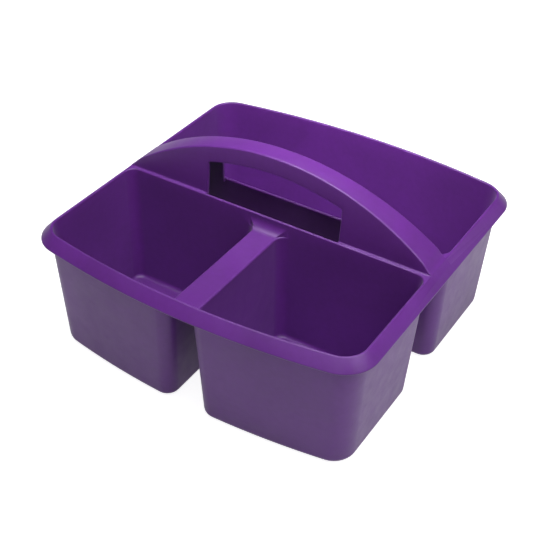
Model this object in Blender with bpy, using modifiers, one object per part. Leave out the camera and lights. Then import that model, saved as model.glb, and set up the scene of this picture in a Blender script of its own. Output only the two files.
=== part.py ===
"""Three-compartment cleaning caddy: three tapered bins, a sloping rim, dividers and an arched handle.

The real caddy is one injection moulding. Here it is divided along its natural regions, with a
small gap between neighbours. Sizes are in metres, +Z is up, and the bins stand on z = 0.
The front, with the two small bins, faces -Y.
"""

import math

import bmesh
import bpy

# Overall sizes
WIDTH = 0.2336
DEPTH = 0.2336
RIM_HEIGHT = 0.088
HANDLE_RISE = 0.0404

# Walls and gaps
WALL = 0.002
GAP = 0.0003

# Rim, a flange that slopes down from the rounded lip of the bins to a rounded outer edge
BOW = 0.0125
RIM_RUN = 0.0078
RIM_DROP = 0.00765
RIM_CORNER = 0.0225
LIP_ROUND = 0.001
EDGE_ROUND = 0.0008

# Bins
OUTER_DRAFT = math.radians(2.9)
BIN_CORNER_AT_GROUND = 0.0152
DIVIDER_CORNER = 0.009
FLOOR_ROUND = 0.005

# Dividers between the bins
CROSS_WIDTH = 0.0254
CROSS_DRAFT = math.radians(2.9)
LEDGE_STEP = 0.0005
STRIP_WIDTH = 0.018
STRIP_BELOW_RIM = 0.0091
STRIP_DRAFT = math.radians(2.7)
STRIP_END_ROUND = 0.007
STRIP_END_TURN = math.radians(75)

# Handle
HANDLE_TOP_WIDTH = 0.0137
HANDLE_DRAFT = math.radians(4.8)
HANDLE_EDGE_ROUND = 0.0015
HANDLE_FOOT_RISE = 0.0021
HANDLE_FOOT_MIN = 0.0015
WINDOW_WIDTH = 0.097
WINDOW_RISE = 0.0294
WINDOW_TOP_RADIUS = 0.165
WINDOW_CORNER = 0.002

# Facets
CORNER_STEPS = 8
SMALL_CORNER_STEPS = 5
BOW_STEPS = 12
ROUND_STEPS = 3
ARCH_STEPS = 32
WINDOW_STEPS = 10
SHARP_ANGLE = math.radians(35)

PURPLE = (0.150, 0.028, 0.290, 1.0)
PLASTIC_ROUGHNESS = 0.38

# Levels and planes that follow from the sizes above
HALF_WIDTH = WIDTH / 2
HALF_DEPTH = DEPTH / 2
BOW_RADIUS = (HALF_WIDTH**2 + BOW**2) / (2 * BOW)
WALL_INSET = RIM_RUN - WALL
STRIP_HEIGHT = RIM_HEIGHT - STRIP_BELOW_RIM
FRAME_BOTTOM = STRIP_HEIGHT - WALL
BIN_TOP = FRAME_BOTTOM - GAP
HANDLE_TOP = RIM_HEIGHT + HANDLE_RISE
ARCH_SPAN = HALF_WIDTH - RIM_RUN
ARCH_SAGITTA = HANDLE_RISE - HANDLE_FOOT_RISE
ARCH_RADIUS = (ARCH_SPAN**2 + ARCH_SAGITTA**2) / (2 * ARCH_SAGITTA)


def outer_inset(z):
    """How far the bins' outer faces lie inside the rim's outer edge."""
    return WALL_INSET + (RIM_HEIGHT - z) * math.tan(OUTER_DRAFT)


def cross_half(z):
    """Half the space between the front bins and the rear bin."""
    return CROSS_WIDTH / 2 - WALL + (RIM_HEIGHT - z) * math.tan(CROSS_DRAFT)


def strip_half(z):
    """Half the space between the two front bins."""
    return STRIP_WIDTH / 2 - WALL + (STRIP_HEIGHT - z) * math.tan(STRIP_DRAFT)


def outer_corner(z):
    """Corner radius of the bins' outer faces at the caddy's four corners."""
    at_rim = RIM_CORNER - WALL_INSET
    return BIN_CORNER_AT_GROUND + (at_rim - BIN_CORNER_AT_GROUND) * z / RIM_HEIGHT


def handle_half(z):
    """Half the handle's thickness over its outer faces."""
    return HANDLE_TOP_WIDTH / 2 + (HANDLE_TOP - z) * math.tan(HANDLE_DRAFT)


def arch_height(x):
    """Height of the handle's top face."""
    return HANDLE_TOP - ARCH_RADIUS + math.sqrt(ARCH_RADIUS**2 - x**2)


def arch_half_span(z):
    """Where the handle's top face comes down to a height."""
    return math.sqrt(ARCH_RADIUS**2 - (z - HANDLE_TOP + ARCH_RADIUS) ** 2)


def arc(centre, radius, start, end, steps):
    angles = [start + (end - start) * i / steps for i in range(steps + 1)]
    return [(centre[0] + radius * math.cos(a), centre[1] + radius * math.sin(a)) for a in angles]


def bowed(inset):
    """A front or rear side that bows outwards, this far inside the rim's outer edge."""
    return {"inset": inset}


def flat(y):
    """A straight side along X."""
    return {"y": y}


def corner_circle(side, direction, x, radius):
    """Centre of the rounding between a side and the wall at x, and its angle on the side."""
    towards_middle = -math.copysign(1, x - side.get("middle", 0.0))
    centre_x = x + towards_middle * radius
    if "y" in side:
        return (centre_x, side["y"] - direction * radius), direction * math.pi / 2
    bow_centre = direction * (HALF_DEPTH - BOW_RADIUS)
    reach = BOW_RADIUS - side["inset"] - radius
    centre_y = bow_centre + direction * math.sqrt(reach**2 - centre_x**2)
    return (centre_x, centre_y), math.atan2(centre_y - bow_centre, centre_x)


def side_points(side, direction, start_x, end_x):
    """Points between two corners of the front (direction -1) or the rear (1)."""
    xs = [start_x + (end_x - start_x) * i / BOW_STEPS for i in range(1, BOW_STEPS)]
    if "y" in side:
        return [(x, side["y"]) for x in xs]
    bow_centre = direction * (HALF_DEPTH - BOW_RADIUS)
    reach = BOW_RADIUS - side["inset"]
    return [(x, bow_centre + direction * math.sqrt(reach**2 - x**2)) for x in xs]


def outline(left, right, front, rear, corners, z):
    """A rounded four-sided loop at height z, anticlockwise from above.

    corners holds the radii of the front left, front right, rear right and rear left.
    """
    middle = (left + right) / 2
    front = {**front, "middle": middle}
    rear = {**rear, "middle": middle}
    fl, fl_angle = corner_circle(front, -1, left, corners[0])
    fr, fr_angle = corner_circle(front, -1, right, corners[1])
    rr, rr_angle = corner_circle(rear, 1, right, corners[2])
    rl, rl_angle = corner_circle(rear, 1, left, corners[3])
    turn = 2 * math.pi
    parts = [
        arc(fl, corners[0], math.pi, fl_angle % turn, CORNER_STEPS),
        arc(fr, corners[1], fr_angle, 0.0, CORNER_STEPS),
        arc(rr, corners[2], 0.0, rr_angle, CORNER_STEPS),
        arc(rl, corners[3], rl_angle, math.pi, CORNER_STEPS),
    ]
    front_run = side_points(front, -1, parts[0][-1][0], parts[1][0][0])
    rear_run = side_points(rear, 1, parts[2][-1][0], parts[3][0][0])
    loop = parts[0] + front_run + parts[1] + parts[2] + rear_run + parts[3]
    return [(x, y, z) for x, y in loop]


def rim_loop(inset, z):
    """A loop round the whole caddy, parallel to the rim's outer edge."""
    half = HALF_WIDTH - inset
    radius = RIM_CORNER - inset
    return outline(-half, half, bowed(inset), bowed(inset), [radius] * 4, z)


def plastic(name):
    material = bpy.data.materials.new(name + "_plastic")
    material.use_nodes = True
    shader = material.node_tree.nodes["Principled BSDF"]
    shader.inputs["Base Color"].default_value = PURPLE
    shader.inputs["Roughness"].default_value = PLASTIC_ROUGHNESS
    shader.inputs["Metallic"].default_value = 0.0
    material.diffuse_color = PURPLE
    return material


def add_object(name, points, faces, collection):
    mesh = bpy.data.meshes.new(name)
    mesh.from_pydata(points, [], faces)
    mesh.validate()
    mesh.materials.append(plastic(name))
    part = bpy.data.objects.new(name, mesh)
    collection.objects.link(part)
    mesh.shade_smooth()
    mesh.set_sharp_from_angle(angle=SHARP_ANGLE)
    return part


def loft(name, loops, collection, ring=False, top_cap=True):
    """A skin through loops of equal length: capped at its ends, or closed into a ring."""
    count = len(loops[0])
    points = [point for loop in loops for point in loop]
    faces = []
    spans = len(loops) if ring else len(loops) - 1
    for row in range(spans):
        low = row * count
        high = (row + 1) % len(loops) * count
        for i in range(count):
            j = (i + 1) % count
            faces.append((low + i, low + j, high + j, high + i))
    if not ring:
        faces.append(tuple(reversed(range(count))))
        if top_cap:
            faces.append(tuple(range(len(points) - count, len(points))))
    return add_object(name, points, faces, collection)


def face_outwards(part):
    """Turns the faces of a closed solid outwards."""
    work = bmesh.new()
    work.from_mesh(part.data)
    bmesh.ops.recalc_face_normals(work, faces=work.faces)
    work.to_mesh(part.data)
    work.free()


def bin_levels():
    """(height, extra inset) up a bin's outer face: the floor's rounding, then the wall."""
    levels = []
    for i in range(ROUND_STEPS + 2):
        angle = math.pi / 2 * i / (ROUND_STEPS + 1)
        rise = FLOOR_ROUND * (1 - math.cos(angle))
        levels.append((rise, FLOOR_ROUND * (1 - math.sin(angle))))
    return levels + [(BIN_TOP, 0.0)]


def open_bin(name, loops, collection):
    """A bin: its outer skin, open at the top, with its wall grown inwards."""
    part = loft(name, loops, collection, top_cap=False)
    shell = part.modifiers.new("Wall", "SOLIDIFY")
    shell.thickness = WALL
    shell.offset = -1
    shell.use_even_offset = True
    return part


def front_bin(name, side, collection):
    """A small bin left (side -1) or right (side 1) of the front divider."""
    loops = []
    for z, tuck in bin_levels():
        near = strip_half(z) + tuck
        far = HALF_WIDTH - outer_inset(z) - tuck
        left, right = sorted((side * near, side * far))
        wide = outer_corner(z) - tuck
        small = DIVIDER_CORNER - tuck
        front_corners = (wide, small) if side < 0 else (small, wide)
        corners = [*front_corners, small, small]
        front = bowed(outer_inset(z) + tuck)
        rear = flat(-cross_half(z) - tuck)
        loops.append(outline(left, right, front, rear, corners, z))
    return open_bin(name, loops, collection)


def rear_bin(name, collection):
    """The long bin behind the handle."""
    loops = []
    for z, tuck in bin_levels():
        half = HALF_WIDTH - outer_inset(z) - tuck
        wide = outer_corner(z) - tuck
        small = DIVIDER_CORNER - tuck
        front = flat(cross_half(z) + tuck)
        rear = bowed(outer_inset(z) + tuck)
        loops.append(outline(-half, half, front, rear, [small, small, wide, wide], z))
    return open_bin(name, loops, collection)


def rim(name, collection):
    """The collar above the bins with the flange that slopes down and out from its lip."""
    lip = (RIM_RUN - LIP_ROUND, RIM_HEIGHT - LIP_ROUND)
    edge = (EDGE_ROUND, RIM_HEIGHT - RIM_DROP + EDGE_ROUND)
    run = lip[0] - edge[0]
    climb = lip[1] - edge[1]
    slope = math.atan2(climb, run) + math.asin((LIP_ROUND - EDGE_ROUND) / math.hypot(run, climb))
    outwards = math.pi / 2 + slope
    flange_foot = EDGE_ROUND * (1 - math.sin(slope)) + WALL / math.sin(slope)
    wall_face = outer_inset(RIM_HEIGHT - RIM_DROP)
    under_flange = RIM_HEIGHT - RIM_DROP + (wall_face - flange_foot) * math.tan(slope)
    collar_foot = outer_inset(FRAME_BOTTOM)
    profile = [
        (collar_foot, FRAME_BOTTOM),
        (outer_inset(under_flange), under_flange),
        (flange_foot, RIM_HEIGHT - RIM_DROP),
        *arc(edge, EDGE_ROUND, 1.5 * math.pi, outwards, ROUND_STEPS),
        *arc(lip, LIP_ROUND, outwards, OUTER_DRAFT, ROUND_STEPS),
        (collar_foot + WALL, FRAME_BOTTOM),
    ]
    return loft(name, [rim_loop(inset, z) for inset, z in profile], collection, ring=True)


def bar(name, sections, collection):
    """A bar along X through (x, profile) sections, each profile in Y and Z."""
    loops = [[(x, y, z) for y, z in profile] for x, profile in sections]
    part = loft(name, loops, collection)
    face_outwards(part)
    return part


def inner_half_width():
    """Half the clear width between the collar's side walls, at their narrowest."""
    return HALF_WIDTH - outer_inset(FRAME_BOTTOM) - WALL


def ledge_profile(side, inner):
    """A wall's top from the bins' level up to the rim's, and inwards to this distance from the middle."""
    foot = side * (cross_half(FRAME_BOTTOM) + WALL)
    crest = side * (cross_half(RIM_HEIGHT) + WALL)
    return [
        (side * cross_half(FRAME_BOTTOM), FRAME_BOTTOM),
        (foot, FRAME_BOTTOM),
        (crest, RIM_HEIGHT - LIP_ROUND),
        (crest - side * LIP_ROUND, RIM_HEIGHT),
        (side * inner, RIM_HEIGHT),
        (side * inner, RIM_HEIGHT - WALL),
    ]


def ledge(name, side, collection):
    """The top of the wall under the handle, in front (side -1) or behind it (side 1).

    It reaches inwards to carry the handle's wall, except below the hand opening.
    """
    reach = inner_half_width() - GAP
    window = WINDOW_WIDTH / 2
    wide = ledge_profile(side, handle_half(RIM_HEIGHT) - WALL)
    narrow = ledge_profile(side, cross_half(RIM_HEIGHT))
    sections = [
        (-reach, wide),
        (-window, wide),
        (-window + LEDGE_STEP, narrow),
        (window - LEDGE_STEP, narrow),
        (window, wide),
        (reach, wide),
    ]
    return bar(name, sections, collection)


def front_divider(name, collection):
    """The strip that bridges the two front bins, rounded up into the walls at its ends."""
    half = STRIP_WIDTH / 2
    inset = outer_inset(FRAME_BOTTOM) + WALL + GAP
    bow_centre = BOW_RADIUS - HALF_DEPTH
    front_y = bow_centre - math.sqrt((BOW_RADIUS - inset) ** 2 - half**2)
    rear_y = -cross_half(FRAME_BOTTOM) - WALL - GAP
    radius = STRIP_END_ROUND
    lift = radius * math.sin(STRIP_END_TURN)
    down = -math.pi / 2
    front_centre = (front_y + lift, STRIP_HEIGHT + radius)
    rear_centre = (rear_y - lift, STRIP_HEIGHT + radius)
    front_round = arc(front_centre, radius, down - STRIP_END_TURN, down, SMALL_CORNER_STEPS)
    rear_round = arc(rear_centre, radius, down, down + STRIP_END_TURN, SMALL_CORNER_STEPS)
    profile = front_round + rear_round + [(rear_y, FRAME_BOTTOM), (front_y, FRAME_BOTTOM)]
    return bar(name, [(-half, profile), (half, profile)], collection)


def handle_wall(name, side, collection):
    """The handle's front (side -1) or rear (side 1) wall, with the hand opening cut up into it."""
    foot = RIM_HEIGHT + GAP
    drop = WALL + GAP
    reach = arch_half_span(foot + HANDLE_FOOT_MIN + drop)
    xs = [reach - 2 * reach * i / ARCH_STEPS for i in range(ARCH_STEPS + 1)]
    top = [(x, arch_height(x) - drop) for x in xs]

    half = WINDOW_WIDTH / 2
    crown = RIM_HEIGHT + WINDOW_RISE
    turned_x = half - WINDOW_CORNER
    turned_z = crown - WINDOW_TOP_RADIUS + math.sqrt(
        (WINDOW_TOP_RADIUS - WINDOW_CORNER) ** 2 - turned_x**2
    )
    tilt = math.atan2(turned_z - crown + WINDOW_TOP_RADIUS, turned_x)
    left_corner = arc((-turned_x, turned_z), WINDOW_CORNER, math.pi, math.pi - tilt, ROUND_STEPS)
    right_corner = arc((turned_x, turned_z), WINDOW_CORNER, tilt, 0.0, ROUND_STEPS)
    run_start = left_corner[-1][0]
    run_end = right_corner[0][0]
    run = []
    for i in range(1, WINDOW_STEPS):
        x = run_start + (run_end - run_start) * i / WINDOW_STEPS
        run.append((x, crown - WINDOW_TOP_RADIUS + math.sqrt(WINDOW_TOP_RADIUS**2 - x**2)))
    window = [(-half, foot), *left_corner, *run, *right_corner, (half, foot)]

    outline_xz = [*top, (-reach, foot), *window, (reach, foot)]
    outer = [(x, side * handle_half(z), z) for x, z in outline_xz]
    inner = [(x, side * (handle_half(z) - WALL), z) for x, z in outline_xz]
    part = loft(name, [outer, inner], collection)
    face_outwards(part)
    return part


def handle_top(name, collection):
    """The band along the top of the arch, from one side of the rim to the other."""
    reach = arch_half_span(RIM_HEIGHT + GAP + WALL)
    loops = []
    for i in range(ARCH_STEPS + 1):
        x = -reach + 2 * reach * i / ARCH_STEPS
        z = arch_height(x)
        wide = handle_half(z - HANDLE_EDGE_ROUND)
        narrow = wide - HANDLE_EDGE_ROUND
        under = handle_half(z - WALL)
        section = [(narrow, z), (-narrow, z)]
        section += [(-wide, z - HANDLE_EDGE_ROUND), (-under, z - WALL)]
        section += [(under, z - WALL), (wide, z - HANDLE_EDGE_ROUND)]
        loops.append([(x, y, height) for y, height in section])
    part = loft(name, loops, collection)
    face_outwards(part)
    return part


def build():
    for old in list(bpy.data.objects):
        bpy.data.objects.remove(old, do_unlink=True)
    caddy = bpy.data.collections.new("cleaning_caddy")
    bpy.context.scene.collection.children.link(caddy)

    front_bin("front_left_bin", -1, caddy)
    front_bin("front_right_bin", 1, caddy)
    rear_bin("rear_bin", caddy)
    rim("rim", caddy)
    front_divider("front_divider", caddy)
    ledge("front_ledge", -1, caddy)
    ledge("rear_ledge", 1, caddy)
    handle_wall("handle_front_wall", -1, caddy)
    handle_wall("handle_rear_wall", 1, caddy)
    handle_top("handle_top_band", caddy)


build()
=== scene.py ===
# Three-compartment cleaning caddy: one injection moulding in purple polypropylene.
# The skin is built as a mould maker would cut it: a solid outer form, less the cores that make its hollows.
# Every size is in metres; +Z is up and the two small bins face -Y.

import math

import bmesh
import bpy
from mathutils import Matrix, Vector


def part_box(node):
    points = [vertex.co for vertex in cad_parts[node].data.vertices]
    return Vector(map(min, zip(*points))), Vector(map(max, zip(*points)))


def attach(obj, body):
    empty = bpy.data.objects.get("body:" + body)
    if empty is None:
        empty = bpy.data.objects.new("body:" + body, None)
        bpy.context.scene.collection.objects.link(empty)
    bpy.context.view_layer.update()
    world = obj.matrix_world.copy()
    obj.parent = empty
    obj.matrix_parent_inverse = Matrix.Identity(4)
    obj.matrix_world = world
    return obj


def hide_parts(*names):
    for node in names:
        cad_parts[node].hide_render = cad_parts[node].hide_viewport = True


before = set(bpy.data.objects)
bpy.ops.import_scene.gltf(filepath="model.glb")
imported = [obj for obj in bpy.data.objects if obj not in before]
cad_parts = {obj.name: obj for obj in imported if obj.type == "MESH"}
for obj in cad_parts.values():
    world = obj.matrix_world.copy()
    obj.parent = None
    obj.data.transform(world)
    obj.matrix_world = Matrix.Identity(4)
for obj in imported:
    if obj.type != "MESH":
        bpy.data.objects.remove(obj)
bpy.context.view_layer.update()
print("frame loaded:", len(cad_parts), "nodes")

mm = 0.001
bite = 0.3 * mm  # how far hidden faces run on into their neighbours
standOff = 8 * mm  # how far the cores stand up past the flat top

mould = {
    "wall": 2.0 * mm,  # thickness of every wall and floor
    "bow": 12.5 * mm,  # how far the middle of the front and rear sides stands proud
    "lipInset": 6.8 * mm,  # crest of the lip, in from the rim's outer edge
    "lipRound": 1.0 * mm,
    "edgeRound": 0.8 * mm,
    "sharpAngle": math.radians(32),  # edges that turn more than this are drawn sharp
    "rimSlope": math.radians(45.7),
    "rimDrop": 7.65 * mm,
    "rimCorner": 22.5 * mm,
    "baseCorner": 15.2 * mm,
    "innerCorner": 9.0 * mm,  # corners of the bins next to the dividers
    "floorRound": 5.0 * mm,
    "wallDraft": math.radians(2.9),
    "crossWall": 12.7 * mm,  # from the middle to the bins' faces under the handle, at the lip
    "stripDraft": math.radians(2.7),
    "stripEndRound": 7.0 * mm,
    "recess": 0.3 * mm,
}
facets = {"corner": 14, "side": 24, "floor": 7, "lip": 5, "arch": 72, "stripEnd": 8, "strip": 12}

# Levels and half sizes that the frame gives
rimLow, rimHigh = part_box("rim")
halfWidth = rimHigh.x
halfDepth = rimHigh.y
webBottom = rimLow.z
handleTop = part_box("handle_top_band")[1].z
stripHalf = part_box("front_divider")[1].x
stripTop = webBottom + mould["wall"]
lipTurn = math.radians(84)  # the lip's rounding stops just short of level, where it meets the flat
lipCentre = rimHigh.z - mould["lipRound"]
deckTop = lipCentre + mould["lipRound"] * math.sin(lipTurn)
deckBottom = deckTop - mould["wall"]
bowRadius = (halfWidth**2 + mould["bow"] ** 2) / (2 * mould["bow"])
innerTop = deckBottom + bite  # where hidden walls end inside the deck and the rim


def addNode(tree, kind, settings=None, inputs=None):
    # One node with its settings, and its inputs as values or as links from other sockets
    node = tree.nodes.new(kind)
    for name, value in (settings or {}).items():
        setattr(node, name, value)
    for name, value in (inputs or {}).items():
        if isinstance(value, bpy.types.NodeSocket):
            tree.links.new(value, node.inputs[name])
        else:
            node.inputs[name].default_value = value
    return node


def linearColour(code):
    # sRGB hex to the linear values that shaders take
    channels = [int(code[i : i + 2], 16) / 255 for i in (1, 3, 5)]
    linear = [c / 12.92 if c <= 0.04045 else ((c + 0.055) / 1.055) ** 2.4 for c in channels]
    return (*linear, 1.0)


def wallFace(z):
    # Inset of the bins' inner faces from the rim's outer edge
    draft = mould["wallDraft"]
    lip = mould["lipRound"]
    start = mould["lipInset"] + lip * math.cos(draft)
    return start + (lipCentre + lip * math.sin(draft) - z) * math.tan(draft)


def crossFace(z):
    # Distance of the bins' inner faces from the middle, under the handle
    return mould["crossWall"] + (lipCentre - z) * math.tan(mould["wallDraft"])


def stripFace(z):
    # Distance of the small bins' inner faces from the middle, beside the strip
    return stripHalf + (stripTop - mould["lipRound"] - z) * math.tan(mould["stripDraft"])


def cornerRadius(z):
    # Radius of the four outer corners, on the outer faces
    atRim = mould["rimCorner"] - mould["lipInset"] - mould["lipRound"] + mould["wall"]
    return mould["baseCorner"] + (atRim - mould["baseCorner"]) * z / lipCentre


def bowedSide(direction, inset):
    centre = direction * (halfDepth - bowRadius)
    return {"centre": centre, "radius": bowRadius - inset, "direction": direction}


def straightSide(direction, y):
    # A side so slightly bowed that it is straight
    radius = 10000.0
    return {"centre": y - direction * radius, "radius": radius, "direction": direction}


def arc(centre, radius, start, end, steps):
    angles = [start + (end - start) * i / steps for i in range(steps + 1)]
    return [(centre[0] + radius * math.cos(a), centre[1] + radius * math.sin(a)) for a in angles]


def sideY(side, x):
    return side["centre"] + side["direction"] * math.sqrt(side["radius"] ** 2 - x**2)


def cornerArc(side, x, inwards, radius):
    # The rounding between a side and the straight wall at x, from the wall to the side
    centreX = x + inwards * radius
    reach = side["radius"] - radius
    centreY = side["centre"] + side["direction"] * math.sqrt(reach**2 - centreX**2)
    onSide = math.atan2(centreY - side["centre"], centreX)
    onWall = math.pi if inwards > 0 else 0.0
    if inwards > 0 and side["direction"] < 0:
        onSide += 2 * math.pi
    return arc((centreX, centreY), radius, onWall, onSide, facets["corner"])


def outline(left, right, front, rear, corners, z):
    # A rounded loop, anticlockwise from above; corners are front left, front right, rear right, rear left
    frontLeft = cornerArc(front, left, 1, corners[0])
    frontRight = cornerArc(front, right, -1, corners[1])[::-1]
    rearRight = cornerArc(rear, right, -1, corners[2])
    rearLeft = cornerArc(rear, left, 1, corners[3])[::-1]
    loop = list(frontLeft)
    for side, start, end, nextCorner in (
        (front, frontLeft[-1][0], frontRight[0][0], frontRight + rearRight),
        (rear, rearRight[-1][0], rearLeft[0][0], rearLeft),
    ):
        steps = facets["side"]
        xs = [start + (end - start) * i / steps for i in range(1, steps)]
        loop += [(x, sideY(side, x)) for x in xs] + nextCorner
    return [(x, y, z) for x, y in loop]


def rimOutline(inset, z):
    half = halfWidth - inset
    radius = mould["rimCorner"] - inset
    return outline(-half, half, bowedSide(-1, inset), bowedSide(1, inset), [radius] * 4, z)


def makeObject(name, points, faces):
    mesh = bpy.data.meshes.new(name)
    mesh.from_pydata(points, [], faces)
    piece = bpy.data.objects.new(name, mesh)
    bpy.context.scene.collection.objects.link(piece)
    return piece


def loft(name, loops):
    # A closed skin through loops of equal length
    count = len(loops[0])
    points = [point for loop in loops for point in loop]
    faces = []
    for low in range(0, len(points) - count, count):
        for i in range(count):
            j = (i + 1) % count
            faces.append((low + i, low + j, low + count + j, low + count + i))
    faces.append(tuple(reversed(range(count))))
    faces.append(tuple(range(len(points) - count, len(points))))
    piece = makeObject(name, points, faces)
    work = bmesh.new()
    work.from_mesh(piece.data)
    bmesh.ops.recalc_face_normals(work, faces=work.faces)
    work.to_mesh(piece.data)
    work.free()
    return piece


def block(name, low, high):
    corners = [(low[0], low[1]), (high[0], low[1]), (high[0], high[1]), (low[0], high[1])]
    return loft(name, [[(x, y, z) for x, y in corners] for z in (low[2], high[2])])


def binOutline(where, z, tuck, grow):
    # One bin's outline at z: tucked in by the floor's rounding, or grown by the lip's
    wide = cornerRadius(z) - tuck
    small = mould["innerCorner"] - tuck
    side = halfWidth - wallFace(z) + mould["wall"] - tuck
    bowInset = wallFace(z) - mould["wall"] + tuck
    cross = crossFace(z) - mould["wall"] + tuck
    strip = stripFace(z) - mould["wall"] + tuck + grow
    if where == "rear":
        front = straightSide(-1, cross)
        return outline(-side, side, front, bowedSide(1, bowInset), [small, small, wide, wide], z)
    left, right = sorted((where * strip, where * side))
    corners = [wide, small, small, small] if where < 0 else [small, wide, small, small]
    return outline(left, right, bowedSide(-1, bowInset), straightSide(1, -cross), corners, z)


def binForm(name, where):
    # The outer form of a bin: -1 left, 1 right, or rear
    loops = []
    for i in range(facets["floor"] + 1):
        angle = math.pi / 2 * i / facets["floor"]
        rise = mould["floorRound"] * (1 - math.cos(angle))
        tuck = mould["floorRound"] * (1 - math.sin(angle))
        loops.append(binOutline(where, rise, tuck, 0.0))
    loops.append(binOutline(where, innerTop, 0.0, 0.0))
    return loft(name, loops)


def binCore(name, where):
    # The hollow of a bin, with the floor's rounding, the strip's rounded edge and the lip's flare
    wall = mould["wall"]
    lip = mould["lipRound"]
    draft = mould["wallDraft"]
    innerRound = mould["floorRound"] - wall
    loops = []
    for i in range(facets["floor"] + 1):
        angle = math.pi / 2 * i / facets["floor"]
        rise = innerRound * (1 - math.cos(angle))
        tuck = innerRound * (1 - math.sin(angle))
        loops.append(binOutline(where, wall + rise, wall + tuck, 0.0))
    flare = 0.0
    if where != "rear":
        for i in range(facets["lip"] + 1):
            angle = lipTurn * i / facets["lip"]
            flare = -lip * (1 - math.cos(angle))
            loops.append(binOutline(where, stripTop - lip + lip * math.sin(angle), wall, flare))
    foot = lipCentre + lip * math.sin(draft)
    for i in range(facets["lip"] + 1):
        angle = draft + (lipTurn - draft) * i / facets["lip"]
        spread = wall - lip * (math.cos(draft) - math.cos(angle))
        loop = binOutline(where, foot, spread, flare)
        loops.append([(x, y, lipCentre + lip * math.sin(angle)) for x, y, _ in loop])
    for beyond, rise in ((bite, bite / math.tan(lipTurn)), (bite, standOff)):
        loop = binOutline(where, foot, spread - beyond, flare)
        loops.append([(x, y, deckTop + rise) for x, y, _ in loop])
    return loft(name, loops)


def rimTree():
    # Sweeps the sloping flange's section along the caddy's outline, both worked out from the inputs
    tree = bpy.data.node_groups.new("slopingRim", "GeometryNodeTree")
    face = tree.interface
    face.new_socket("Geometry", in_out="OUTPUT", socket_type="NodeSocketGeometry")
    face.new_socket("Outline", in_out="INPUT", socket_type="NodeSocketGeometry")
    lengths = ("Lip Inset", "Level", "Drop", "Thickness", "Inner Inset", "Slope", "Lip Round", "Edge Round")
    for name in lengths:
        face.new_socket(name, in_out="INPUT", socket_type="NodeSocketFloat")
    face.new_socket("Round Steps", in_out="INPUT", socket_type="NodeSocketInt")
    face.new_socket("Material", in_out="INPUT", socket_type="NodeSocketMaterial")
    given = addNode(tree, "NodeGroupInput").outputs

    def maths(operation, first, second=0.0):
        return addNode(tree, "ShaderNodeMath", {"operation": operation}, {0: first, 1: second}).outputs[0]

    steepness = maths("TANGENT", given["Slope"])
    halfSlope = maths("TANGENT", maths("MULTIPLY", given["Slope"], 0.5))
    crest = maths("SUBTRACT", given["Lip Inset"], maths("MULTIPLY", given["Lip Round"], halfSlope))
    tip = maths("SUBTRACT", crest, maths("DIVIDE", given["Drop"], steepness))
    bend = maths("ADD", crest, maths("MULTIPLY", given["Thickness"], halfSlope))
    underDrop = maths("SUBTRACT", given["Drop"], given["Thickness"])
    foot = maths("SUBTRACT", bend, maths("DIVIDE", underDrop, steepness))
    below = maths("SUBTRACT", given["Level"], given["Thickness"])
    lowest = maths("SUBTRACT", given["Level"], given["Drop"])

    corners = [
        (tip, lowest, given["Edge Round"]),
        (crest, given["Level"], given["Lip Round"]),
        (given["Inner Inset"], given["Level"], 0.0),
        (given["Inner Inset"], below, 0.0),
        (bend, below, 0.0),
        (foot, lowest, 0.0),
    ]
    index = addNode(tree, "GeometryNodeInputIndex").outputs[0]
    place = addNode(tree, "GeometryNodeIndexSwitch", {"data_type": "VECTOR"}, {"Index": index})
    rounding = addNode(tree, "GeometryNodeIndexSwitch", {"data_type": "FLOAT"}, {"Index": index})
    for switch in (place, rounding):
        while len(switch.index_switch_items) < len(corners):
            switch.index_switch_items.new()
    for i, (inset, level, radius) in enumerate(corners):
        spot = addNode(tree, "ShaderNodeCombineXYZ", None, {"X": inset, "Y": level})
        tree.links.new(spot.outputs[0], place.inputs[i + 1])
        if isinstance(radius, float):
            rounding.inputs[i + 1].default_value = radius
        else:
            tree.links.new(radius, rounding.inputs[i + 1])

    points = addNode(tree, "GeometryNodePoints", None, {"Count": len(corners), "Position": place.outputs[0]})
    line = addNode(tree, "GeometryNodePointsToCurves", None, {"Points": points.outputs[0]})
    cyclic = {"Geometry": line.outputs[0], "Cyclic": True}
    closed = addNode(tree, "GeometryNodeSetSplineCyclic", None, cyclic)
    section = addNode(
        tree,
        "GeometryNodeFilletCurve",
        {"mode": "POLY"},
        {"Curve": closed.outputs[0], "Count": given["Round Steps"], "Radius": rounding.outputs[0]},
    )
    swept = addNode(
        tree,
        "GeometryNodeCurveToMesh",
        None,
        {"Curve": given["Outline"], "Profile Curve": section.outputs[0]},
    )
    real = addNode(tree, "GeometryNodeRealizeInstances", None, {"Geometry": swept.outputs[0]})
    finished = addNode(
        tree,
        "GeometryNodeSetMaterial",
        None,
        {"Geometry": real.outputs[0], "Material": given["Material"]},
    )
    addNode(tree, "NodeGroupOutput", None, {"Geometry": finished.outputs[0]})
    return tree


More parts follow.
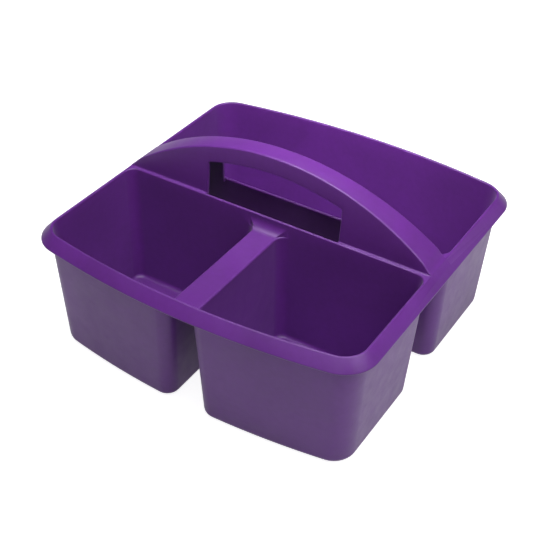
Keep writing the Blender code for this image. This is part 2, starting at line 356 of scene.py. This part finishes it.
def sweptRim(name, material):
    path = bpy.data.curves.new(name + "Outline", "CURVE")
    path.dimensions = "3D"
    path.twist_mode = "Z_UP"
    loop = rimOutline(0.0, 0.0)
    spline = path.splines.new("POLY")
    spline.points.add(len(loop) - 1)
    for point, place in zip(spline.points, loop):
        point.co = (*place, 1.0)
        point.tilt = math.pi  # the section's X then points inwards and its Y up
    spline.use_cyclic_u = True
    guide = bpy.data.objects.new(name + "Outline", path)
    bpy.context.scene.collection.objects.link(guide)
    sizes = {
        "Lip Inset": mould["lipInset"],
        "Level": deckTop,
        "Drop": mould["rimDrop"] - rimHigh.z + deckTop,
        "Thickness": mould["wall"],
        "Inner Inset": 12 * mm,
        "Slope": mould["rimSlope"],
        "Lip Round": mould["lipRound"],
        "Edge Round": mould["edgeRound"],
        "Round Steps": 8,
        "Material": material,
    }
    tree = rimTree()
    modifier = guide.modifiers.new("slopingRim", "NODES")
    modifier.node_group = tree
    for socket in tree.interface.items_tree:
        if socket.name in sizes:
            modifier[socket.identifier] = sizes[socket.name]
    graph = bpy.context.evaluated_depsgraph_get()
    mesh = bpy.data.meshes.new_from_object(guide.evaluated_get(graph))
    bpy.data.objects.remove(guide)
    piece = bpy.data.objects.new(name, mesh)
    bpy.context.scene.collection.objects.link(piece)
    return piece


handle = {
    "topHalf": 6.85 * mm,
    "draft": math.radians(4.8),
    "edgeRound": 1.1 * mm,
    "footRound": 0.8 * mm,
    "archRadius": 175.8 * mm,
    # The arch leaves its circle at the start, and has melted into the rim's slope at the end
    "meltStart": 104.0 * mm,
    "meltEnd": 113.6 * mm,
    "meltRound": 2.4 * mm,  # the foot's rounding where it melts away
    "roof": 2.2 * mm,
    "leastHeight": 0.02 * mm,
    "footShare": 0.55,  # most of the height that the foot and the edge may take
    "edgeShare": 0.4,
    "endSink": 0.5 * mm,
    "windowHalf": 48.5 * mm,
    "windowRise": 29.4 * mm,
    "windowRadius": 165.0 * mm,
    "windowCorner": 1.5 * mm,
    "windowRound": 0.6 * mm,
}


def handleHalf(z):
    return handle["topHalf"] + (handleTop - z) * math.tan(handle["draft"])


def archHeight(x):
    radius = handle["archRadius"]
    return handleTop - radius + math.sqrt(radius**2 - x**2)


def rimSurface(x):
    # The deck, then the rim's slope
    crest = halfWidth - mould["lipInset"] + mould["lipRound"] * math.tan(mould["rimSlope"] / 2)
    return deckTop - max(0.0, abs(x) - crest) * math.tan(mould["rimSlope"])


def melt(x):
    # 0 along the arch, rising to 1 where the handle has melted into the rim
    past = (abs(x) - handle["meltStart"]) / (handle["meltEnd"] - handle["meltStart"])
    past = min(max(past, 0.0), 1.0)
    return past**2 * (3 - 2 * past)


def ridgeTop(x):
    swell = max(archHeight(x) - deckTop, 0.0) * (1 - melt(x))
    return rimSurface(x) + swell - handle["leastHeight"] * melt(x)


def ridgeSection(x, sink=0.0):
    # Half of the handle's section at x, from its foot up to its top edge, as (y, z)
    base = rimSurface(x)
    top = ridgeTop(x)
    height = max(top - base, handle["leastHeight"])
    foot = min(handle["footRound"] + handle["meltRound"] * melt(x), handle["footShare"] * height)
    edge = min(handle["edgeRound"], handle["edgeShare"] * height)
    draft = handle["draft"]
    wallFoot = handleHalf(base + foot)
    start = math.pi + lipTurn
    footArc = arc((wallFoot + foot, base + foot), foot, start, math.pi, facets["lip"])
    beyond = (footArc[0][0] + 0.2 * mm, footArc[0][1] - 0.2 * mm * math.tan(math.radians(6)))
    edgeCentre = (handleHalf(base + height - edge) - edge / math.cos(draft), base + height - edge)
    edgeArc = arc(edgeCentre, edge, draft, math.pi / 2, facets["lip"])
    bottom = (beyond[0], min(deckBottom + 1.0 * mm, base - 1.2 * mm))
    return [(y, z - sink) for y, z in [bottom, beyond, *footArc, *edgeArc]]


def ridge(name):
    reach = handle["meltEnd"]
    steps = facets["arch"]
    xs = [reach * math.sin(math.pi / 2 * i / steps) for i in range(-steps, steps + 1)]
    sections = [(-reach - bite, ridgeSection(reach, handle["endSink"]))]
    sections += [(x, ridgeSection(x)) for x in xs]
    sections += [(reach + bite, ridgeSection(reach, handle["endSink"]))]
    loops = []
    for x, half in sections:
        mirrored = [(-y, z) for y, z in reversed(half)]
        loops.append([(x, y, z) for y, z in half + mirrored])
    return loft(name, loops)


def ridgeCore(name):
    # The handle's hollow, open below
    wall = mould["wall"] / math.cos(handle["draft"])
    innerRound = 1.0 * mm
    reach = halfWidth - wallFace(deckTop) - 2.5 * mm
    steps = facets["arch"]
    low = deckBottom - 2 * mm
    loops = []
    for i in range(-steps, steps + 1):
        x = reach * i / steps
        top = archHeight(x) - handle["roof"]
        centre = (handleHalf(top - innerRound) - wall - innerRound, top - innerRound)
        half = [(handleHalf(low) - wall, low), *arc(centre, innerRound, 0.0, math.pi / 2, 4)]
        mirrored = [(-y, z) for y, z in reversed(half)]
        loops.append([(x, y, z) for y, z in half + mirrored])
    return loft(name, loops)


def windowOutline(grow):
    # The hand opening's outline as (x, z), standing on the deck
    half = handle["windowHalf"] + grow
    radius = handle["windowRadius"] + grow
    corner = handle["windowCorner"] + grow
    centreZ = rimHigh.z + handle["windowRise"] - handle["windowRadius"]
    cornerX = half - corner
    cornerZ = centreZ + math.sqrt((radius - corner) ** 2 - cornerX**2)
    tilt = math.atan2(cornerZ - centreZ, cornerX)
    right = arc((cornerX, cornerZ), corner, 0.0, tilt, facets["lip"])
    crown = arc((0.0, centreZ), radius, tilt, math.pi - tilt, facets["side"])
    left = arc((-cornerX, cornerZ), corner, math.pi - tilt, math.pi, facets["lip"])
    return [(half, deckTop), *right, *crown[1:-1], *left, (-half, deckTop)]


def windowCore(name):
    # Cut through both walls, with its edges rounded where they meet the outer faces
    edge = handle["windowRound"]
    levels = [(20 * mm, edge + 0.2 * mm, False)]
    for i in range(facets["lip"] + 1):
        angle = lipTurn * (1 - i / facets["lip"])
        levels.append((-edge * (1 - math.sin(angle)), edge * (1 - math.cos(angle)), True))
    levels += [(0.0, 0.0, False)]
    loops = []
    for side in (-1, 1):
        ordered = levels if side < 0 else levels[-2::-1]
        for depth, grow, onWall in ordered:
            loop = []
            for x, z in windowOutline(grow):
                y = handleHalf(z) + depth if onWall else depth
                loop.append((x, side * y, z))
            loops.append(loop)
    return loft(name, loops)


def slotCore(name):
    # The opening in the deck below the window, with the tops of the walls beside it rounded
    lip = mould["lipRound"]
    half = handle["windowHalf"]
    inner = mould["crossWall"] - mould["wall"]
    levels = [(deckBottom - 2 * mm, inner + 4 * mm * math.tan(mould["wallDraft"]))]
    for i in range(facets["lip"] + 1):
        angle = lipTurn * i / facets["lip"]
        levels.append((lipCentre + lip * math.sin(angle), inner + lip * (1 - math.cos(angle))))
    levels.append((deckTop + bite / math.tan(lipTurn), levels[-1][1] + bite))
    loops = []
    for z, y in levels:
        loops.append([(-half, -y, z), (half, -y, z), (half, y, z), (-half, y, z)])
    return loft(name, loops)


def saddleCore(name):
    # The space above the strip: level along its top, then curving up into the walls at both ends
    reach = mould["innerCorner"] - mould["wall"] + stripHalf + bite
    radius = mould["stripEndRound"]
    lip = mould["lipRound"]
    shy = 0.01 * mm
    steps = facets["strip"]
    loops = []
    for i in range(-steps, steps + 1):
        x = reach * i / steps
        profile = []
        for towardsFront in (True, False):

            def face(z):
                if towardsFront:
                    return sideY(bowedSide(-1, wallFace(z) + shy), x)
                return -crossFace(z) - shy

            out = -1 if towardsFront else 1
            level = stripTop + radius
            centre = (face(level) - out * radius, level)
            half = [(centre[0], stripTop)]
            for k in range(1, facets["stripEnd"] + 1):
                angle = math.pi / 2 * k / facets["stripEnd"]
                half.append((centre[0] + out * radius * math.sin(angle), level - radius * math.cos(angle)))
            for k in range(facets["lip"] + 1):
                angle = lipTurn * k / facets["lip"]
                y = face(lipCentre) - out * lip * (math.cos(angle) - 1)
                half.append((y, lipCentre + lip * math.sin(angle)))
            half.append((half[-1][0] + out * bite, deckTop + bite / math.tan(lipTurn)))
            half.append((half[-1][0], deckTop + standOff))
            profile += half[::-1] if towardsFront else half
        loops.append([(x, y, z) for y, z in profile])
    return loft(name, loops)


def webs():
    # Short walls that close the gaps between the bins below the rim, and the strip between them
    recess = mould["recess"]
    reach = stripHalf + mould["innerCorner"] - mould["wall"]
    loops = []
    for z in (webBottom, innerTop):
        inset = wallFace(z) - mould["wall"] + recess
        front = bowedSide(-1, inset)
        steps = facets["strip"]
        xs = [-reach + 2 * reach * i / steps for i in range(steps + 1)]
        back = -crossFace(z) + mould["wall"] - recess
        loop = [(x, sideY(front, x), z) for x in xs]
        loops.append(loop + [(reach, back, z), (-reach, back, z)])
    made = [loft("stripWeb", loops)]
    long = mould["crossWall"] + mould["innerCorner"] - 1.0 * mm
    for side in (-1, 1):
        loops = []
        for z in (webBottom, innerTop):
            outer = side * (halfWidth - wallFace(z) + mould["wall"] - recess)
            inner = side * (halfWidth - wallFace(z))
            left, right = sorted((outer, inner))
            loops.append([(left, -long, z), (right, -long, z), (right, long, z), (left, long, z)])
        made.append(loft("sideWeb", loops))
    return made


def deck(name):
    reach = halfWidth - 9.5 * mm
    deep = mould["crossWall"] + 2.5 * mm
    return block(name, (-reach, -deep, deckBottom), (reach, deep, deckTop))


def boolean(base, tools, operation):
    for tool in tools:
        modifier = base.modifiers.new(operation, "BOOLEAN")
        modifier.operation = operation
        modifier.solver = "EXACT"
        modifier.object = tool
    graph = bpy.context.evaluated_depsgraph_get()
    mesh = bpy.data.meshes.new_from_object(base.evaluated_get(graph))
    base.modifiers.clear()
    base.data = mesh
    for tool in tools:
        bpy.data.objects.remove(tool)
    return base


def mouldedBody():
    body = sweptRim("caddyMoulding", None)
    forms = [deck("deckForm"), ridge("ridgeForm"), *webs()]
    forms += [binForm("binForm", where) for where in (-1, 1, "rear")]
    boolean(body, forms, "UNION")
    print("outer form:", len(body.data.polygons), "faces")
    cores = [binCore("binCore", where) for where in (-1, 1, "rear")]
    cores += [saddleCore("saddleCore"), slotCore("slotCore")]
    cores += [ridgeCore("ridgeCore"), windowCore("windowCore")]
    boolean(body, cores, "DIFFERENCE")
    print("moulding:", len(body.data.polygons), "faces")
    return body


pieces = {
    "joinBelowRim": webBottom - 0.1 * mm,  # the heights at which the one moulding is shared out
    "joinUnderHandle": deckTop + 0.9 * mm,
}


def sharedOut(body):
    # Closed pieces that meet face to face, each with the CAD nodes that it stands for
    far = 200 * mm
    low = pieces["joinBelowRim"]
    high = pieces["joinUnderHandle"]
    shares = [
        ("frontLeftBin", (-far, -far, -far), (0.0, 0.0, low), ["front_left_bin"]),
        ("frontRightBin", (0.0, -far, -far), (far, 0.0, low), ["front_right_bin"]),
        ("rearBin", (-far, 0.0, -far), (far, far, low), ["rear_bin"]),
        (
            "rimAndDividers",
            (-far, -far, low),
            (far, far, high),
            ["rim", "front_divider", "front_ledge", "rear_ledge"],
        ),
        (
            "handle",
            (-far, -far, high),
            (far, far, far),
            ["handle_front_wall", "handle_rear_wall", "handle_top_band"],
        ),
    ]
    made = []
    for name, lowCorner, highCorner, nodes in shares:
        piece = bpy.data.objects.new(name, body.data.copy())
        bpy.context.scene.collection.objects.link(piece)
        boolean(piece, [block("share", lowCorner, highCorner)], "INTERSECT")
        print(name + ":", len(piece.data.polygons), "faces")
        made.append((piece, nodes))
    bpy.data.objects.remove(body)
    return made


plastic = {
    "light": "#612684",
    "deep": "#562175",
    "smooth": 0.37,  # roughness where the skin lay tight against the steel
    "dull": 0.47,  # and where it shrank away
    "ior": 1.49,
    "sheen": 0.15,
    "sheenRoughness": 0.4,
    "flowSize": 60 * mm,  # how far apart the faint streaks of the melt's flow lie
    "mottleSize": 3.5 * mm,  # unevenly mixed pigment
    "cloudSize": 9.0 * mm,  # patches of tighter and duller skin
    "rubSize": 1.6 * mm,  # width of the faint marks left by stacking and handling
    "rubStretch": 14.0,
    "rubTurn": (0.5, 0.3, 0.9),
    "rubStart": 0.62,  # where in the noise a mark begins, and where it is full
    "rubFull": 0.75,
    "rubDull": 0.06,  # roughness that a full mark adds
    "mottleShare": 0.3,
    "deepAt": 0.32,
    "lightAt": 0.68,
    "grainSize": 0.9 * mm,  # the steel's eroded texture is 0.1 mm, drawn coarser so that it shows
    "grainDepth": 0.02 * mm,
    "sinkSize": 14.0 * mm,  # very shallow waves where the walls shrank
    "sinkDepth": 0.05 * mm,
}


def polypropylene():
    # Injection-moulded polypropylene: satin, with a soft skin, faint flow marks and a fine eroded grain
    material = bpy.data.materials.new("injectionMouldedPolypropylene")
    material.use_nodes = True
    tree = material.node_tree
    shader = tree.nodes["Principled BSDF"]
    place = addNode(tree, "ShaderNodeTexCoord").outputs["Object"]

    def noise(size, detail, distortion=0.0, vector=place):
        settings = {"Vector": vector, "Scale": 1 / size, "Detail": detail, "Distortion": distortion}
        return addNode(tree, "ShaderNodeTexNoise", None, settings).outputs["Fac"]

    # Pigment: slow streaks of flow, with a little fine mottling in them
    flow = noise(plastic["flowSize"], 4.0, 0.8)
    mottle = noise(plastic["mottleSize"], 3.0)
    mixed = {"Factor": plastic["mottleShare"], "A": flow, "B": mottle}
    pigment = addNode(tree, "ShaderNodeMix", {"data_type": "FLOAT"}, mixed)
    tint = addNode(tree, "ShaderNodeValToRGB", None, {"Fac": pigment.outputs["Result"]})
    tint.color_ramp.elements[0].position = plastic["deepAt"]
    tint.color_ramp.elements[0].color = linearColour(plastic["deep"])
    tint.color_ramp.elements[1].position = plastic["lightAt"]
    tint.color_ramp.elements[1].color = linearColour(plastic["light"])
    tree.links.new(tint.outputs["Color"], shader.inputs["Base Color"])

    # Skin: patches of gloss, crossed by long thin rub marks
    stretch = (1.0, plastic["rubStretch"], plastic["rubStretch"])
    across = {"Vector": place, "Rotation": plastic["rubTurn"], "Scale": stretch}
    turned = addNode(tree, "ShaderNodeMapping", None, across)
    rubs = noise(plastic["rubSize"] * plastic["rubStretch"], 2.0, 0.3, turned.outputs["Vector"])
    marks = addNode(
        tree,
        "ShaderNodeMapRange",
        None,
        {
            "Value": rubs,
            "From Min": plastic["rubStart"],
            "From Max": plastic["rubFull"],
            "To Min": 0.0,
            "To Max": plastic["rubDull"],
        },
    )
    skin = addNode(
        tree,
        "ShaderNodeMapRange",
        None,
        {
            "Value": noise(plastic["cloudSize"], 4.0),
            "From Min": 0.3,
            "From Max": 0.7,
            "To Min": plastic["smooth"],
            "To Max": plastic["dull"],
        },
    )
    worn = addNode(
        tree,
        "ShaderNodeMath",
        {"operation": "ADD"},
        {0: skin.outputs["Result"], 1: marks.outputs["Result"]},
    )
    tree.links.new(worn.outputs["Value"], shader.inputs["Roughness"])

    # Relief: shallow sink waves, then the grain of the mould
    sink = addNode(
        tree,
        "ShaderNodeBump",
        None,
        {"Height": noise(plastic["sinkSize"], 1.0), "Strength": 1.0, "Distance": plastic["sinkDepth"]},
    )
    grain = addNode(
        tree,
        "ShaderNodeBump",
        None,
        {
            "Height": noise(plastic["grainSize"], 2.0),
            "Strength": 1.0,
            "Distance": plastic["grainDepth"],
            "Normal": sink.outputs["Normal"],
        },
    )
    tree.links.new(grain.outputs["Normal"], shader.inputs["Normal"])
    shader.inputs["IOR"].default_value = plastic["ior"]
    shader.inputs["Sheen Weight"].default_value = plastic["sheen"]
    shader.inputs["Sheen Roughness"].default_value = plastic["sheenRoughness"]
    return material


studio = {
    "paper": "#bcbcbe",
    "glowOnObject": 0.33,  # the lit paper's own brightness, as the caddy receives it
    "glowSeen": 0.88,  # and as it is seen
    "azimuth": 33.74,
    "elevation": 37.34,
    "distance": 729.4 * mm,
    "target": (-31.5 * mm, 0.0, 27.7 * mm),
    "lens": 70.2,
    "sensor": 36,
    "paperRoughness": 0.9,
    "floorReach": 4.0,
    "floorDepth": 0.02,
    "shift": (0.0672, -0.0133),
    "lamps": {
        "overhead": {"place": (0.0, 0.05, 0.9), "size": 0.5, "power": 4.1},
        "front": {"place": (0.3, -1.0, 1.5), "size": 1.0, "power": 6.2},
        "right": {"place": (0.4, -0.05, 0.5), "size": 0.3, "power": 1.8},
        "frontLeft": {"place": (-0.15, -0.15, 0.8), "size": 0.4, "power": 2.2},
        # A weak one above the handle, turned to the rear bin so that its far wall doesn't go dark
        "rear": {
            "place": (0.0, 0.01, 0.32),
            "size": 0.12,
            "power": 0.16,
            "aim": (0.0, 0.13, 0.05),
            "spread": 80,
        },
    },
}


def softLight(name, place, size, power, aim=(0.0, 0.0, 50 * mm), spread=180):
    light = bpy.data.lights.new(name, "AREA")
    light.shape = "SQUARE"
    light.size = size
    light.energy = power
    light.spread = math.radians(spread)
    lamp = bpy.data.objects.new(name, light)
    bpy.context.scene.collection.objects.link(lamp)
    lamp.location = place
    lamp.rotation_euler = (Vector(place) - Vector(aim)).to_track_quat("Z", "Y").to_euler()
    lamp.visible_camera = False


def seenOrGiven(tree, given, seen):
    # One value for what the eye sees, and another for the light that reaches the caddy
    ray = addNode(tree, "ShaderNodeLightPath").outputs["Is Camera Ray"]
    inputs = {"Value": ray, "To Min": given, "To Max": seen}
    return addNode(tree, "ShaderNodeMapRange", None, inputs).outputs["Result"]


def makeStudio():
    scene = bpy.context.scene
    reach = studio["floorReach"]
    floor = block("floor", (-reach, -reach, -studio["floorDepth"]), (reach, reach, 0.0))
    paper = bpy.data.materials.new("mattPaper")
    paper.use_nodes = True
    sheet = paper.node_tree.nodes["Principled BSDF"]
    sheet.inputs["Base Color"].default_value = linearColour(studio["paper"])
    sheet.inputs["Roughness"].default_value = studio["paperRoughness"]
    sheet.inputs["Emission Color"].default_value = (1.0, 1.0, 1.0, 1.0)
    glow = seenOrGiven(paper.node_tree, studio["glowOnObject"], studio["glowSeen"])
    paper.node_tree.links.new(glow, sheet.inputs["Emission Strength"])
    floor.data.materials.append(paper)

    room = bpy.data.worlds.new("paleRoom")
    room.use_nodes = True
    sky = room.node_tree.nodes["Background"]
    sky.inputs["Color"].default_value = (1.0, 1.0, 1.0, 1.0)
    room.node_tree.links.new(seenOrGiven(room.node_tree, 0.0, 1.0), sky.inputs["Strength"])
    scene.world = room
    scene.view_settings.view_transform = "Standard"
    for name, lamp in studio["lamps"].items():
        softLight(name, **lamp)

    data = bpy.data.cameras.new("camera")
    data.sensor_width = studio["sensor"]
    data.lens = studio["lens"]
    data.shift_x, data.shift_y = studio["shift"]
    data.clip_start = 0.01
    camera = bpy.data.objects.new("camera", data)
    scene.collection.objects.link(camera)
    around = math.radians(studio["azimuth"])
    up = math.radians(studio["elevation"])
    back = Vector((math.sin(around) * math.cos(up), -math.cos(around) * math.cos(up), math.sin(up)))
    camera.location = Vector(studio["target"]) + back * studio["distance"]
    camera.rotation_euler = back.to_track_quat("Z", "Y").to_euler()
    scene.camera = camera


skin = polypropylene()
for piece, nodes in sharedOut(mouldedBody()):
    piece.data.materials.clear()
    piece.data.materials.append(skin)
    piece.data.shade_smooth()
    piece.data.set_sharp_from_angle(angle=mould["sharpAngle"])
    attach(piece, "root")
    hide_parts(*nodes)
makeStudio()
print("studio ready")
